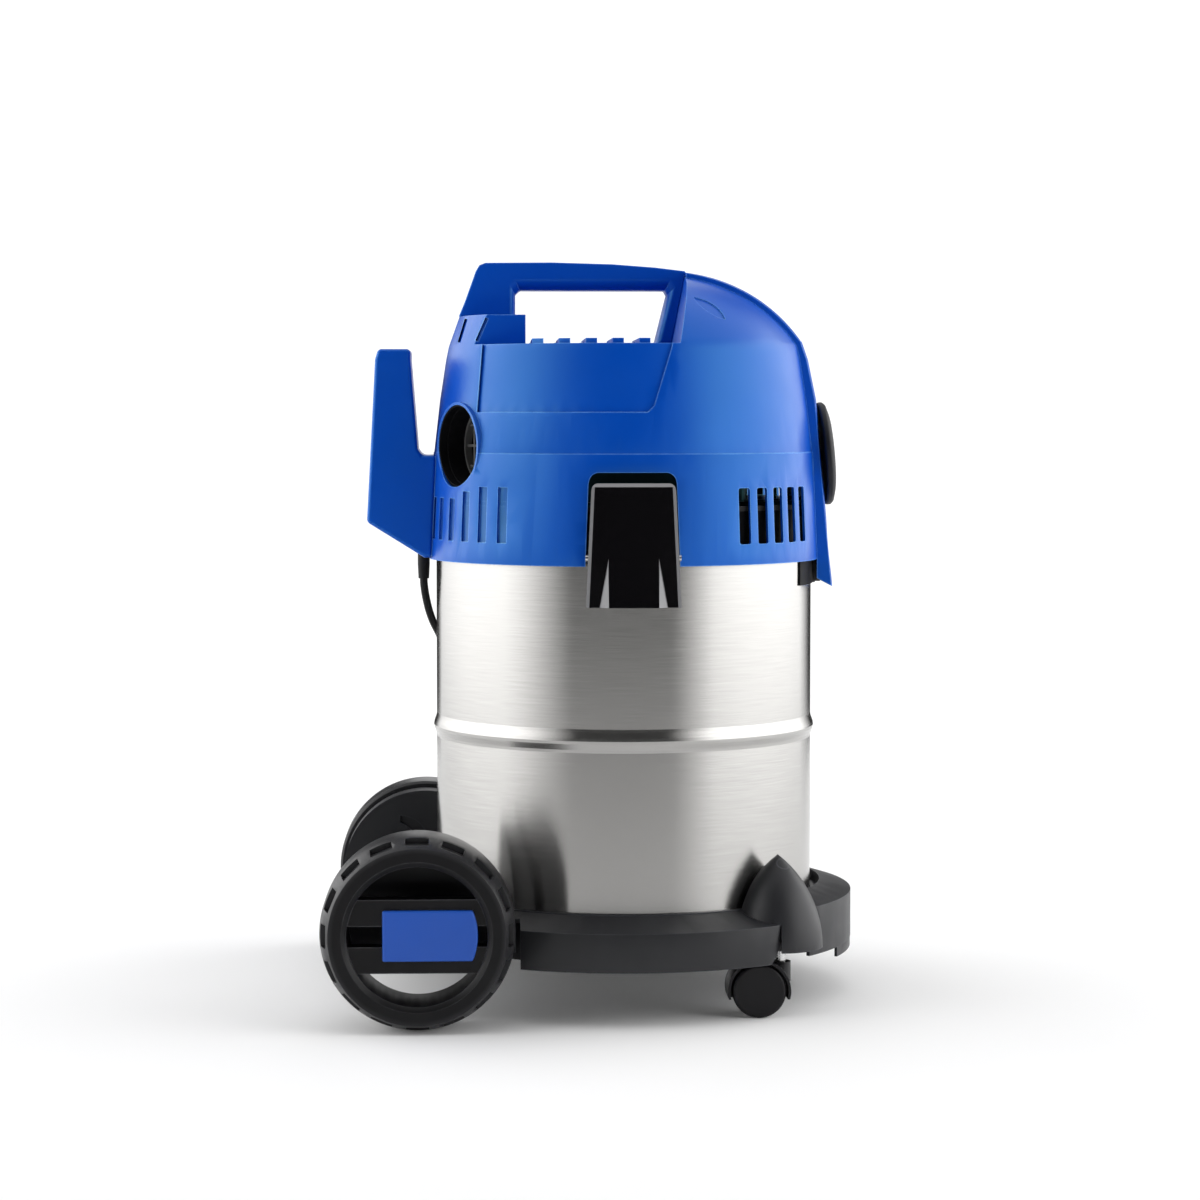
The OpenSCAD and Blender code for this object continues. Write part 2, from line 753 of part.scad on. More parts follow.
module latch_recess() both_sides() intersection() {
  block(-100, 100, -200, -recess_in, head_base_z - 1, top_z);
  recess_panel(0);
}

module latch_pocket() both_sides() difference() {
  intersection() {
    block(-100, 100, -seam_r, 2.5 - recess_in, floor_z, top_z);
    recess_panel(2.5);
  }
  intersection() {
    block(-100, 100, -200, -recess_in, floor_z - 1, top_z);
    recess_panel(0);
  }
}

module head_base() at_tank() color(blue)
  difference() {
    union() {
      difference() {
        union() {
          rotate_extrude() polygon([
            [skirt_r(head_base_z) - 2.5, head_base_z], [head_r, head_base_z], [seam_r, seam_z],
            [seam_r - 2.5, seam_z]
          ]);
          ring(38, skirt_r(floor_z) - 1, floor_z, floor_top_z);
          intersection() {
            port_boss(port_r + 4, collar_in, collar_out);
            block(-300, 300, -300, 300, head_base_z, seam_z);
          }
        }
        cooling_slots();
        rear_grooves();
        difference() {
          latch_recess();
          ring(0, tank_r - 1.8, floor_z - 1, floor_top_z);
        }
        block(hood_in, 200, -spine_half + 2.4, spine_half - 2.4, head_base_z - 1, floor_z - eps);
      }
      intersection() {
        latch_pocket();
        cylinder(r = skirt_r(recess_top_z) - 0.4, h = 600);
      }
      both_sides() block(-28, 28, -tank_r - 2.2, 4 - tank_r, floor_z, floor_top_z + 5.5);
    }
    port_boss(port_r + 2, 100, 200);
    block(100, 200, -22, 22, floor_top_z + 16, seam_z + 26.5);
    screw_holes();
    gland_bore(5);
  }

module deck_ribs() intersection() {
  for (i = [0:4]) both_sides()
    block(-73 + i * 20.8 - 4.4, -73 + i * 20.8 + 4.4, -150, -24, deck_z - 1, deck_z + 4);
  cylinder(r = deck_r - 5, h = 600);
}

// block at the rear of the deck, drawn inwards by t; its foot reaches 1 mm into the deck
module rear_block(t) {
  foot = t > 0 ? deck_z : deck_z - 1;
  intersection() {
    rotate_extrude() polygon([
      [0, foot], [deck_r - t, foot], [deck_r - t, deck_z], [block_r - t, block_z], [0, block_z]
    ]);
    block(-200, 62.2 - deck_r - t, -75 + t, 75 - t, foot, block_z - t);
  }
}

// curved side panel, sunk into the wall on both sides
module side_panels() both_sides() difference() {
  translate([0, -60, 0]) rotate([90, 0, 0]) linear_extrude(140) polygon([
    [-116.5, deck_z + 1], [32, deck_z + 1], [31, deck_z - 4], [17, deck_z - 49], [12, deck_z - 54],
    [-121, deck_z - 54]
  ]);
  rotate_extrude() polygon(concat(
    [[0, seam_z]], [for (i = [0:3]) cover_wall(2)[i]], [[deck_r - 2, deck_z + 2], [0, deck_z + 2]]));
}

// slanted blind slits in the sides of the rear block, each by its place, its lean and its inner end
module block_slots() both_sides() difference() {
  for (s = [[11.7, 17, -24], [27.2, 24, -66]])
    translate([s[0] - deck_r, s[2] - 28, block_z - 12]) rotate([0, s[1], 0])
      cube([2.6, 56, 20], center = true);
  rear_block(2);
}

// shallow oval set in the dome's side, pointed at both ends
module dome_dimple() both_sides() difference() {
  rotate([0, 0, -57]) translate([crest_x, 0, crest_z]) rotate([0, 38.6, 0]) translate([0, 0, crest_r - 8])
    rotate([0, 0, 26]) intersection() {
      translate([0, 15, 0]) cylinder(r = 22, h = 20);
      translate([0, -15, 0]) cylinder(r = 22, h = 20);
    }
  dome_solid(1);
}

module head_cover() at_tank() color(blue)
  difference() {
    union() {
      difference() {
        rotate_extrude() polygon(concat(
          [for (i = [0:3]) cover_wall(0)[i]],
          [[0, deck_z], [0, deck_z - wall]],
          [[cover_wall(wall)[3][0] - 0.4, deck_z - wall]],
          [for (i = [2:-1:0]) cover_wall(wall)[i]]));
        block(55, 118, -60, 60, deck_z - 10, deck_z + 10);
      }
      difference() {
        intersection() {
          dome_solid(0);
          front_half(0);
        }
        intersection() {
          dome_solid(wall);
          front_half(wall);
        }
      }
      difference() {
        rear_block(0);
        rear_block(wall);
      }
      deck_ribs();
      intersection() {
        port_boss(port_r + 4, collar_in, collar_out);
        block(-300, 300, -300, 300, seam_z, 600);
      }
      screw_posts();
    }
    // the rear block is open from below
    block(26.2 - deck_r, 54.2 - deck_r, -50, 50, deck_z - 10, deck_z + 1);
    side_panels();
    block_slots();
    dome_dimple();
    port_boss(port_r + 2, 100, 200);
    block(100, 200, -22, 22, floor_z, seam_z + 26.5);
    screw_holes();
  }

module screw_posts() for (a = post_angles)
  rotate([0, 0, a]) translate([post_r, 0, floor_top_z]) cylinder(r = 6, h = deck_z - 1 - floor_top_z);

module screw_holes() for (a = post_angles)
  rotate([0, 0, a]) translate([post_r, 0, floor_z - 1]) cylinder(r = 2, h = 20);

module head_screws() at_tank() color(steel) for (a = post_angles)
  rotate([0, 0, a]) translate([post_r, 0, 0]) {
    translate([0, 0, floor_z]) cylinder(r = 2, h = 18);
    translate([0, 0, floor_z - 2.4]) cylinder(r = 4, h = 2.4);
  }

// raised band over the dome and down the front, ending in the tongue round the hose inlet
module spine_solid(t) {
  rotate_extrude() polygon([
    [0, spine_low_z], [spine_low_x - t, spine_low_z], [spine_mid_x - t, spine_mid_z],
    [deck_r + 11 - t, deck_z - 27], [deck_r + 7.8 - t, deck_z - 11], [deck_r + 2.6 - t, deck_z + 4],
    [0, deck_z + 4]
  ]);
  rotate_extrude() intersection() {
    translate([crest_x, crest_z]) circle(r = crest_r + spine_lift - t);
    translate([0, deck_z + 3.5]) square([200, 90]);
  }
}

module front_spine() at_tank() color(blue)
  difference() {
    intersection() {
      difference() {
        spine_solid(0);
        intersection() {
          spine_solid(wall);
          block(0, 300, -spine_half + wall, spine_half - wall, 0, 700);
        }
      }
      union() {
        block(0, 300, -spine_half, spine_half, 0, deck_z);
        intersection() {
          block(0, 300, -spine_half, spine_half, 0, 700);
          front_half(0);
        }
      }
      block(45, 300, -100, 100, 0, 700);
    }
    head_solid(0);
    // the tongue's lower end slants up towards the tank
    side_profile([
      [100, spine_low_z - 1], [100, spine_low_z + 36], [spine_low_x - 15, spine_low_z + 8],
      [spine_low_x, spine_low_z], [spine_low_x, spine_low_z - 1]
    ], 100);
    rod_x(0, inlet_z, inlet_r + 4.5, 100, 220);
    knob_axis() cylinder(r = 6, h = 40, center = true);
  }

// ---------------------------------------------------------------- handle and hook

// bar with its rear leg on the block and its front leg behind the dome
module handle() at_tank() color(blue)
  difference() {
    side_profile([
      [-block_r - 0.4, block_z], [4.6 - block_r, block_z + 12], [13.6 - block_r, top_z - 7],
      [16.6 - block_r, top_z - 2], [21.6 - block_r, top_z],
      [-60, top_z + 0.4], [-10, top_z - 1], [25, top_z - 3.6], [50, top_z - 6.6],
      [leg_x(deck_z), deck_z], [24.5, deck_z], [26, deck_z + 6], [35, top_z - 26], [33, top_z - 22.3],
      [49.6 - block_r, top_z - 22.3], [46 - block_r, top_z - 26], [46 - block_r, block_z]
    ], handle_w / 2);
    // hollow of the rear leg, open towards the block
    side_profile([
      [7.6 - block_r, block_z - 1], [11.6 - block_r, block_z + 12], [19.6 - block_r, top_z - 10],
      [37.6 - block_r, top_z - 10], [40.6 - block_r, top_z - 24], [40.6 - block_r, block_z - 1]
    ], handle_w / 2 - 4);
  }

// outline of the hook, by its distance behind the tank's wall, drawn inwards by t
module hook_profile(t, half_w) translate([-tank_r, 0, 0]) side_profile([
  [-56.3 + t, head_base_z + 30.4 + t], [-49.1 + t, deck_z - 11], [-46.6 + t, deck_z - 2.5 - t],
  [-20.3 - t, deck_z - 2.5 - t], [-20.3 - t, deck_z - 11], [-14.5 - t, seam_z + 2.5 - t],
  [-11 - t, seam_z - 2.5 - t], [15, seam_z - 2.5 - t],
  [15, head_base_z + 1.3 + t], [-9.4, head_base_z + 1.3 + t]
], half_w);

module cable_hook() at_tank() color(blue)
  difference() {
    hook_profile(0, hook_half);
    hook_profile(wall, hook_half - wall);
    head_solid(0);
    gland_bore(5);
  }

// ---------------------------------------------------------------- exhaust port and cord gland

module port_duct() at_tank() color(black) difference() {
  port_boss(port_r + 2, grille_out - 21, port_out);
  port_boss(port_r + 0.6, port_seat_out, 200);
  port_boss(port_r, grille_out, 200);
  port_boss(port_r - 1, 100, 200);
}

module port_grille() at_tank() color("#b8b8b4") intersection() {
  port_boss(port_r - 1, grille_out - 6, grille_out);
  at_port() {
    for (i = [-1:1]) {
      block(grille_out - 6, grille_out - 2, -60, 60, i * 16.6 - 1, i * 16.6 + 1);
      block(grille_out - 6, grille_out - 2, i * 16.6 - 1, i * 16.6 + 1, -60, 60);
    }
    difference() {
      rod_x(0, 0, 60, grille_out - 6, grille_out);
      rod_x(0, 0, port_r - 3, grille_out - 8, grille_out + 2);
    }
  }
}

module gland_bore(r) translate([gland_x, 0, gland_low_z]) cylinder(r = r, h = 20);

module cord_gland() at_tank() color(black) {
  gland_bore(5);
  translate([gland_x, 0, cord_exit_z]) cylinder(r1 = cord_r + 1.2, r2 = 5, h = 12);
}

// ---------------------------------------------------------------- mains cord

function unit(v) = v / norm(v);
function tangent(p, i) = unit(p[min(i + 1, len(p) - 1)] - p[max(i - 1, 0)]);
function carried(u, t) = unit(u - t * (u * t));
function side_dirs(p, u, i = 0) =
  i == len(p) ? [] : let (v = carried(u, tangent(p, i))) concat([v], side_dirs(p, v, i + 1));

// a point more between each two of a route, on a smooth curve through them
function midpoint(p, i) = let (a = p[max(i - 1, 0)], d = p[min(i + 2, len(p) - 1)])
  (9 * (p[i] + p[i + 1]) - a - d) / 16;
function smooth(p) = concat([for (i = [0:len(p) - 2]) each [p[i], midpoint(p, i)]], [p[len(p) - 1]]);

// tube along the points p, with its first ring turned towards u
module swept_tube(p, r, u) {
  sides = 10;
  dirs = side_dirs(p, u);
  rings = [for (i = [0:len(p) - 1]) let (d = dirs[i], e = cross(tangent(p, i), d))
    for (k = [0:sides - 1]) p[i] + r * (cos(k * 360 / sides) * d + sin(k * 360 / sides) * e)];
  last = sides * (len(p) - 1);
  polyhedron(rings, concat(
    [[for (k = [0:sides - 1]) k]],
    [for (i = [0:len(p) - 2]) for (k = [0:sides - 1]) let (n = (k + 1) % sides, b = i * sides)
      [b + k, b + k + sides, b + n + sides, b + n]],
    [[for (k = [sides - 1:-1:0]) last + k]]));
}

module cord_tube() at_tank() color(black) swept_tube(
  concat([[gland_x, 0, cord_exit_z]], smooth(cord_points)), cord_r, [1, 0, 0]);
module cord_tail() at_tank() color(black) swept_tube(tail_points, cord_r, [0, 0, 1]);

module cord_coil() at_tank() color(black) translate([coil_x, coil_y, 0])
  ring(coil_mid_r - coil_cols * cord_r, coil_mid_r + coil_cols * cord_r, 0, coil_top_z);

// round two-pin plug lying on the coil
module cord_plug() at_tank() color(black) {
  translate(tail_points[len(tail_points) - 1]) rotate([0, -90, 0]) {
    cylinder(r1 = cord_r + 1, r2 = 9, h = 24);
    translate([0, 0, 24]) cylinder(r = plug_r, h = 30);
    for (s = [-1, 1]) translate([0, s * 9.5, 54]) cylinder(r = 2.4, h = 19);
  }
}

// ---------------------------------------------------------------- knob and controls

// knob axis, with the child's +Z pointing out of the spine
module knob_axis() translate([knob_x, 0, knob_z]) rotate([0, 90 - knob_tilt, 0]) children();

module knob() at_tank() color(black) knob_axis() {
  rotate_extrude() polygon([
    [0, 0.5], [knob_r - 1, 0.5], [knob_r, 2], [knob_r, 5], [knob_r - 2, 7], [knob_r - 8, 8.8],
    [knob_r - 20, 10], [0, 10.6]
  ]);
  translate([-2.2, 0, 9.5]) cube([44, 7, 4], center = true);
  translate([0, 0, -14]) cylinder(r = 3, h = 15);
}

module switch_body() at_tank() color(black) difference() {
  union() {
    knob_axis() translate([-15, -15, -30]) cube([30, 30, 26]);
    knob_axis() translate([0, 0, -5]) cylinder(r = 8, h = 1.9);
  }
  knob_axis() translate([0, 0, -15]) cylinder(r = 3 + fit, h = 20);
}

module control_board() at_tank() color("#1d5a34") {
  board_x = deck_r - 22.2;
  block(board_x, board_x + 1.6, -30, 30, floor_top_z, floor_top_z + 56.5);
  block(board_x - 6, board_x, -12, 12, floor_top_z + 14.5, floor_top_z + 38.5);
  block(board_x + 1.6, board_x + 7, -24, -18, floor_top_z + 18.5, floor_top_z + 34.5);
}

// ---------------------------------------------------------------- motor

module motor_gasket() at_tank() color(black) ring(40, fan_case_r - 4, floor_top_z, motor_z);

// pressed can with an eye below and windows above for the air
module fan_housing() at_tank() color(steel) difference() {
  translate([0, 0, motor_z]) cylinder(r = fan_case_r, h = 40);
  translate([0, 0, motor_z + 1.2]) cylinder(r = fan_case_r - 1.2, h = 37.6);
  translate([0, 0, motor_z - 1]) cylinder(r = 24, h = 5);
  translate([0, 0, motor_z + 30]) cylinder(r = 16, h = 20);
  for (a = [0:45:315]) rotate([0, 0, a])
    block(fan_case_r - 14, fan_case_r + 5, -9, 9, motor_z + 28, motor_z + 36);
}

module diffuser() at_tank() color("#8f8f8a") {
  ring(12, fan_case_r - 1.2, motor_z + 18, motor_z + 20);
  for (a = [0:30:330]) rotate([0, 0, a]) block(20, fan_case_r - 6, -1, 1, motor_z + 20, motor_z + 22.6);
}

module impeller(z) {
  ring(shaft_r - fit, 14, z, z + 8);
  ring(13, fan_r, z + 7, z + 8);
  ring(22, fan_r, z, z + 1);
  for (a = [0:45:315]) rotate([0, 0, a]) block(21, fan_r - 2, -0.8, 0.8, z + 0.5, z + 7.5);
}

module fan_lower() at_tank() color("silver") impeller(motor_z + 5);
module fan_upper() at_tank() color("silver") impeller(motor_z + 26);

module stator() at_tank() color("#a9acb0") difference() {
  translate([0, 0, frame_z + 12]) cylinder(r = stator_r, h = 30);
  translate([0, 0, frame_z + 11]) cylinder(r = 24, h = 40);
  for (s = [-1, 1]) translate([s * 48, 0, frame_z + 27]) cube([24, 60, 40], center = true);
}

// cage round the stator that holds both bearings
module motor_bracket() at_tank() color("#9a9a96") difference() {
  union() {
    ring(10, 46, frame_z, frame_z + 4);
    ring(10, 46, frame_z + 56, frame_z + 60);
    for (s = [-1, 1]) block(-12, 12, s * 43.5 - 2.5, s * 43.5 + 2.5, frame_z + 2, frame_z + 58);
  }
  translate([0, 0, frame_z - 1]) cylinder(r = 11, h = 80);
  translate([0, 0, frame_z + 12]) cylinder(r = stator_r, h = 30);
}

module bearing(z) ring(shaft_r, 11, z, z + 4);
module bearing_lower() at_tank() color(steel) bearing(frame_z);
module bearing_upper() at_tank() color(steel) bearing(frame_z + 56);

module brush_holder() difference() {
  block(15, 41, -5, 5, frame_z + 45, frame_z + 54);
  block(30, 42, -3, 3, frame_z + 47, frame_z + 52);
}
module brush_holder_near() at_tank() color("#b08d4a") rotate([0, 0, -90]) brush_holder();
module brush_holder_far() at_tank() color("#b08d4a") rotate([0, 0, 90]) brush_holder();

module motor_shaft() at_tank() color(steel) translate([0, 0, motor_z + 5])
  cylinder(r = shaft_r - fit, h = 96);

module armature() at_tank() color("#8a5a35") {
  ring(shaft_r - fit, 22, frame_z + 12, frame_z + 42);
  ring(shaft_r - fit, 14.4, frame_z + 42, frame_z + 54);
}

// sound hood over the motor, open at the top edge for the exhaust
module motor_hood() at_tank() color(black) difference() {
  translate([0, 0, floor_top_z]) cylinder(r = 84, h = 108);
  translate([0, 0, floor_top_z - 1]) cylinder(r = 81, h = 106);
  for (a = [0:60:300]) rotate([0, 0, a + 28]) block(60, 100, -16, 16, floor_top_z + 30, floor_top_z + 60);
}

// ---------------------------------------------------------------- float and filter

module float_cage() at_tank() color(black) {
  ring(24, 46, floor_z - 3, floor_z);
  ring(cage_r - 2, cage_r, floor_z - 80, floor_z - 72);
  ring(0, cage_r, floor_z - 82, floor_z - 80);
  for (a = [0:45:315]) rotate([0, 0, a]) block(cage_r - 3, cage_r, -2.5, 2.5, floor_z - 81, floor_z - 2);
}

module float_ball() at_tank() color("#d8d4c8") translate([0, 0, floor_z - 80 + ball_r + fit])
  sphere(r = ball_r);

// pleated cartridge round the cage
module filter_element() at_tank() color("#e8e6df") difference() {
  union() {
    ring(44, 62, floor_z - 108, floor_z);
    for (a = [0:10:350]) rotate([0, 0, a]) block(60, 72, -2.2, 2.2, floor_z - 104, floor_z - 8);
    ring(44, 74, floor_z - 8, floor_z);
    ring(44, 74, floor_z - 108, floor_z - 102);
  }
  ring(0, 46.2, floor_z - 3.2, floor_z + 1);
}

module filter_cap() at_tank() color(black) {
  ring(0, 66, floor_z - 112, floor_z - 108);
  ring(10, 43.6, floor_z - 108, floor_z - 96);
  block(-32, 32, -5, 5, floor_z - 124, floor_z - 112);
}

tank_wall();
tank_floor();
tank_gasket();
inlet_fitting();
latch_bracket_near();
latch_bracket_far();
latch_pin_near();
latch_pin_far();
trolley_base();
caster_pod_near();
caster_pod_far();
pod_plugs();
rear_axle();
axle_clips();
head_base();
head_cover();
front_spine();
handle();
cable_hook();
port_duct();
port_grille();
cord_gland();
head_screws();
switch_body();
control_board();
motor_gasket();
fan_housing();
diffuser();
stator();
motor_bracket();
brush_holder_near();
brush_holder_far();
bearing_lower();
bearing_upper();
motor_hood();
float_cage();
filter_element();
filter_cap();
latch_near();
latch_far();
knob();
motor_shaft();
armature();
fan_lower();
fan_upper();
float_ball();
rear_wheel_near();
rear_wheel_far();
wheel_cap_near();
wheel_cap_far();
caster_body_near();
caster_body_far();
caster_stem_near();
caster_stem_far();
caster_wheels_near();
caster_wheels_far();
cord_tube();
cord_coil();
cord_tail();
cord_plug();
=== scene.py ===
"""Shop vacuum: camera, mains cord, materials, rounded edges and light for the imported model. Metres throughout."""

import json
import math

import bmesh
import bpy
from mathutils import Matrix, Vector


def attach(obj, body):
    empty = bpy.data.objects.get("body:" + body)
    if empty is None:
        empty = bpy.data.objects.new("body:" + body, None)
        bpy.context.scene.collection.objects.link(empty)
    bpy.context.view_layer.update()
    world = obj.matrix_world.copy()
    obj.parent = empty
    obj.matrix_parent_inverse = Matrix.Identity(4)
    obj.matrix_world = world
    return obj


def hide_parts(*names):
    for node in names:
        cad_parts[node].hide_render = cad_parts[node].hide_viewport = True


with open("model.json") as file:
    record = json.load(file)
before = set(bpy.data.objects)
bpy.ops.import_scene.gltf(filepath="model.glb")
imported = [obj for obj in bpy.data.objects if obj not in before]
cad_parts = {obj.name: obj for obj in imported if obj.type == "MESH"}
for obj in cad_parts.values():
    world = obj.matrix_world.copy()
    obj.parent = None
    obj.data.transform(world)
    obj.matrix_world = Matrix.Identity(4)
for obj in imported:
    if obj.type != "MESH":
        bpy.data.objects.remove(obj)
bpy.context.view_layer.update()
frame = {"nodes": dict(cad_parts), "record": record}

nodes = frame["nodes"]
scene = bpy.context.scene

TANK_X = 0.027  # the tank's axis, ahead of the middle of the object
MM = 0.001

# ---------------------------------------------------------------- camera

CAMERA_LENS = 90.5
CAMERA_PLACE = (-0.0885, -2.4974, 0.4734)
CAMERA_TILT = 86.5  # degrees up from straight down
CAMERA_TURN = -2.2  # degrees about Z from +Y, to the left where positive

camera_data = bpy.data.cameras.new("camera")
camera_data.lens = CAMERA_LENS
camera_data.sensor_width = 36
camera_data.clip_end = 60
camera = bpy.data.objects.new("camera", camera_data)
camera.location = CAMERA_PLACE
camera.rotation_euler = (math.radians(CAMERA_TILT), 0, math.radians(CAMERA_TURN))
scene.collection.objects.link(camera)
scene.camera = camera

# ---------------------------------------------------------------- mains cord

CORD_R = 0.0032
COIL_CENTRE = Vector((0.070 + TANK_X, 0.252, 0))
COIL_MID_R = 12 * CORD_R
COIL_COLUMNS = 4
COIL_LAYERS = 6
TURN_POINTS = 24  # points on each turn
RISER_TURN = 0.225  # the share of a turn in which the cord climbs to the next layer
RISER_POINTS = 6

# from the gland under the head, down behind the tank and over the trolley to the floor, on the tank's axis in mm
CORD_ROUTE = [
    (-165.5, 0, 336), (-164.5, 2, 327), (-162, 9, 314), (-158.5, 22, 302), (-154, 40, 291),
    (-149, 59, 278), (-140, 79, 262), (-128, 100, 243), (-115, 117, 222), (-103, 131, 198),
    (-92, 143, 172), (-83, 152, 146), (-74, 161, 118), (-63, 172, 96), (-50, 184, 83),
    (-38, 195, 75), (-26, 202, 62), (-13, 205, 46), (2, 206, 29), (19, 205, 14),
    (37, 204, 5.5), (54, 204, 3.2), (70, 204, 3.2),
]  # fmt: skip
CORD_TAIL = [
    (103.9, 218.1, 35.2), (109.8, 226.8, 37.6), (111.9, 237.2, 42), (109.8, 247.5, 47),
    (103.9, 256.2, 51.8), (95.2, 262.1, 55.5), (89.4, 264.2, 57), (84.9, 264.2, 57),
]  # fmt: skip
CORD_EXIT = Vector((-0.1385, 0, 0.339))


def on_tank(points):
    """Points given in mm from the tank's axis, as vectors in the part's frame."""
    return [Vector((x * MM + TANK_X, y * MM, z * MM)) for x, y, z in points]


def smoothed(points):
    """The same route with a point more between each two, on a smooth curve through them."""
    out = []
    for i in range(len(points) - 1):
        before = points[max(i - 1, 0)]
        after = points[min(i + 2, len(points) - 1)]
        middle = (9 * (points[i] + points[i + 1]) - before - after) / 16
        middle.z = max(middle.z, CORD_R)
        out += [points[i], middle]
    return out + [points[-1]]


def coil_turns():
    """The cord's turns, wound in and out in flat layers, from the outer turn on the floor to the outer turn on top."""
    pitch = 2 * CORD_R
    outer = COIL_MID_R + (COIL_COLUMNS - 1) * CORD_R
    inner = COIL_MID_R - (COIL_COLUMNS - 1) * CORD_R
    spiral = COIL_COLUMNS - 1
    points, angle = [], -math.pi / 2
    for layer in range(COIL_LAYERS):
        start, end = (outer, inner) if layer % 2 == 0 else (inner, outer)
        z = CORD_R + layer * pitch
        for i in range(spiral * TURN_POINTS):
            t = i / (spiral * TURN_POINTS)
            a = angle + 2 * math.pi * spiral * t
            r = start + (end - start) * t
            points.append(COIL_CENTRE + Vector((r * math.cos(a), r * math.sin(a), z)))
        angle += 2 * math.pi * spiral
        if layer == COIL_LAYERS - 1:
            continue
        for i in range(RISER_POINTS):
            t = i / RISER_POINTS
            a = angle + 2 * math.pi * RISER_TURN * t
            rise = pitch * (1 - math.cos(math.pi * t)) / 2
            points.append(COIL_CENTRE + Vector((end * math.cos(a), end * math.sin(a), z + rise)))
        angle += 2 * math.pi * RISER_TURN
    return points


def poly_curve(name, points, radius):
    """A round tube along points, as a curve of one open spline."""
    data = bpy.data.curves.new(name, "CURVE")
    data.dimensions = "3D"
    data.bevel_depth = radius
    data.bevel_resolution = 6
    data.use_fill_caps = True
    spline = data.splines.new("POLY")
    spline.points.add(len(points) - 1)
    for point, co in zip(spline.points, points):
        point.co = (*co, 1)
    spline.use_smooth = True
    obj = bpy.data.objects.new(name, data)
    scene.collection.objects.link(obj)
    return obj


cord_line = [CORD_EXIT] + smoothed(smoothed(on_tank(CORD_ROUTE)))[:-1]
cord_line += coil_turns()
cord_line += smoothed(on_tank(CORD_TAIL[:-1])) + on_tank(CORD_TAIL[-1:])
mains_cord = poly_curve("mains_cord", cord_line, CORD_R)

# ---------------------------------------------------------------- material tools


